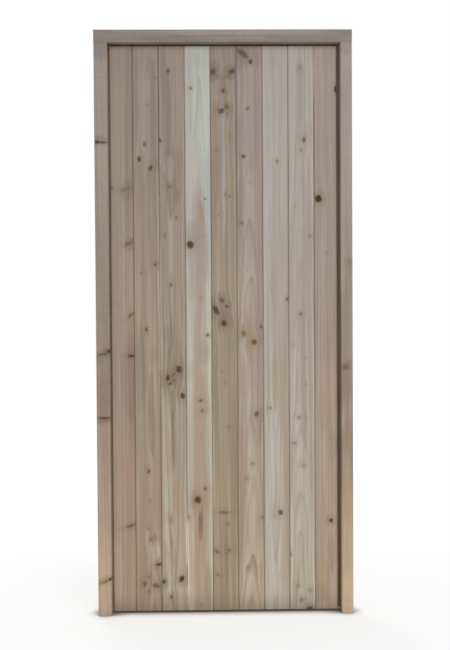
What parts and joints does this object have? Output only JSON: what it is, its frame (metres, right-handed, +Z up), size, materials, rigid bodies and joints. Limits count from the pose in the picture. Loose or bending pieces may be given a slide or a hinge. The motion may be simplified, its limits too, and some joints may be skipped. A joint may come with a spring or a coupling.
{
  "type": "boarded door with frame",
  "caption": "Vertically boarded softwood door hung in a plain rebated timber frame, swinging on tee hinges fixed to its framed and braced back.",
  "frame": {"origin": "foot of the hinge jamb's outer face, halfway through the frame's depth, at floor level", "axes": "+X across the door from the hinge jamb to the lock jamb, +Y from the boarded face to the battened back, +Z up"},
  "size_m": [0.9, 0.087, 2.05],
  "materials": {
    "frame_timber": "rough sawn, lightly weathered",
    "board_timber_brown": "planed, lightly weathered",
    "board_timber_pale": "planed, lightly weathered",
    "board_timber_tan": "planed, lightly weathered",
    "batten_timber": "planed, unweathered",
    "hinge_steel": "black, satin"
  },
  "bodies": {
    "frame": {"hinge_jamb": "frame_timber", "lock_jamb": "frame_timber", "head": "frame_timber", "bottom_hinge_plate": "hinge_steel", "middle_hinge_plate": "hinge_steel", "top_hinge_plate": "hinge_steel", "bottom_hinge_pin": "hinge_steel", "middle_hinge_pin": "hinge_steel", "top_hinge_pin": "hinge_steel"},
    "door_leaf": {"board_1": "board_timber_brown", "board_2": "board_timber_brown", "board_3": "board_timber_brown", "board_4": "board_timber_pale", "board_5": "board_timber_tan", "board_6": "board_timber_tan", "board_7": "board_timber_pale", "board_8": "board_timber_pale", "board_9": "board_timber_brown", "hinge_stile": "batten_timber", "lock_stile": "batten_timber", "bottom_rail": "batten_timber", "middle_rail": "batten_timber", "top_rail": "batten_timber", "lower_brace": "batten_timber", "upper_brace": "batten_timber", "bottom_hinge_strap": "hinge_steel", "middle_hinge_strap": "hinge_steel", "top_hinge_strap": "hinge_steel"}
  },
  "joints": [
    {"name": "door_swing", "type": "hinge", "parent": "frame", "child": "door_leaf", "pos_m": [0.03325, 0.0435, 0], "axis": [0, 0, 1], "range_deg": [0, 170]}
  ]
}
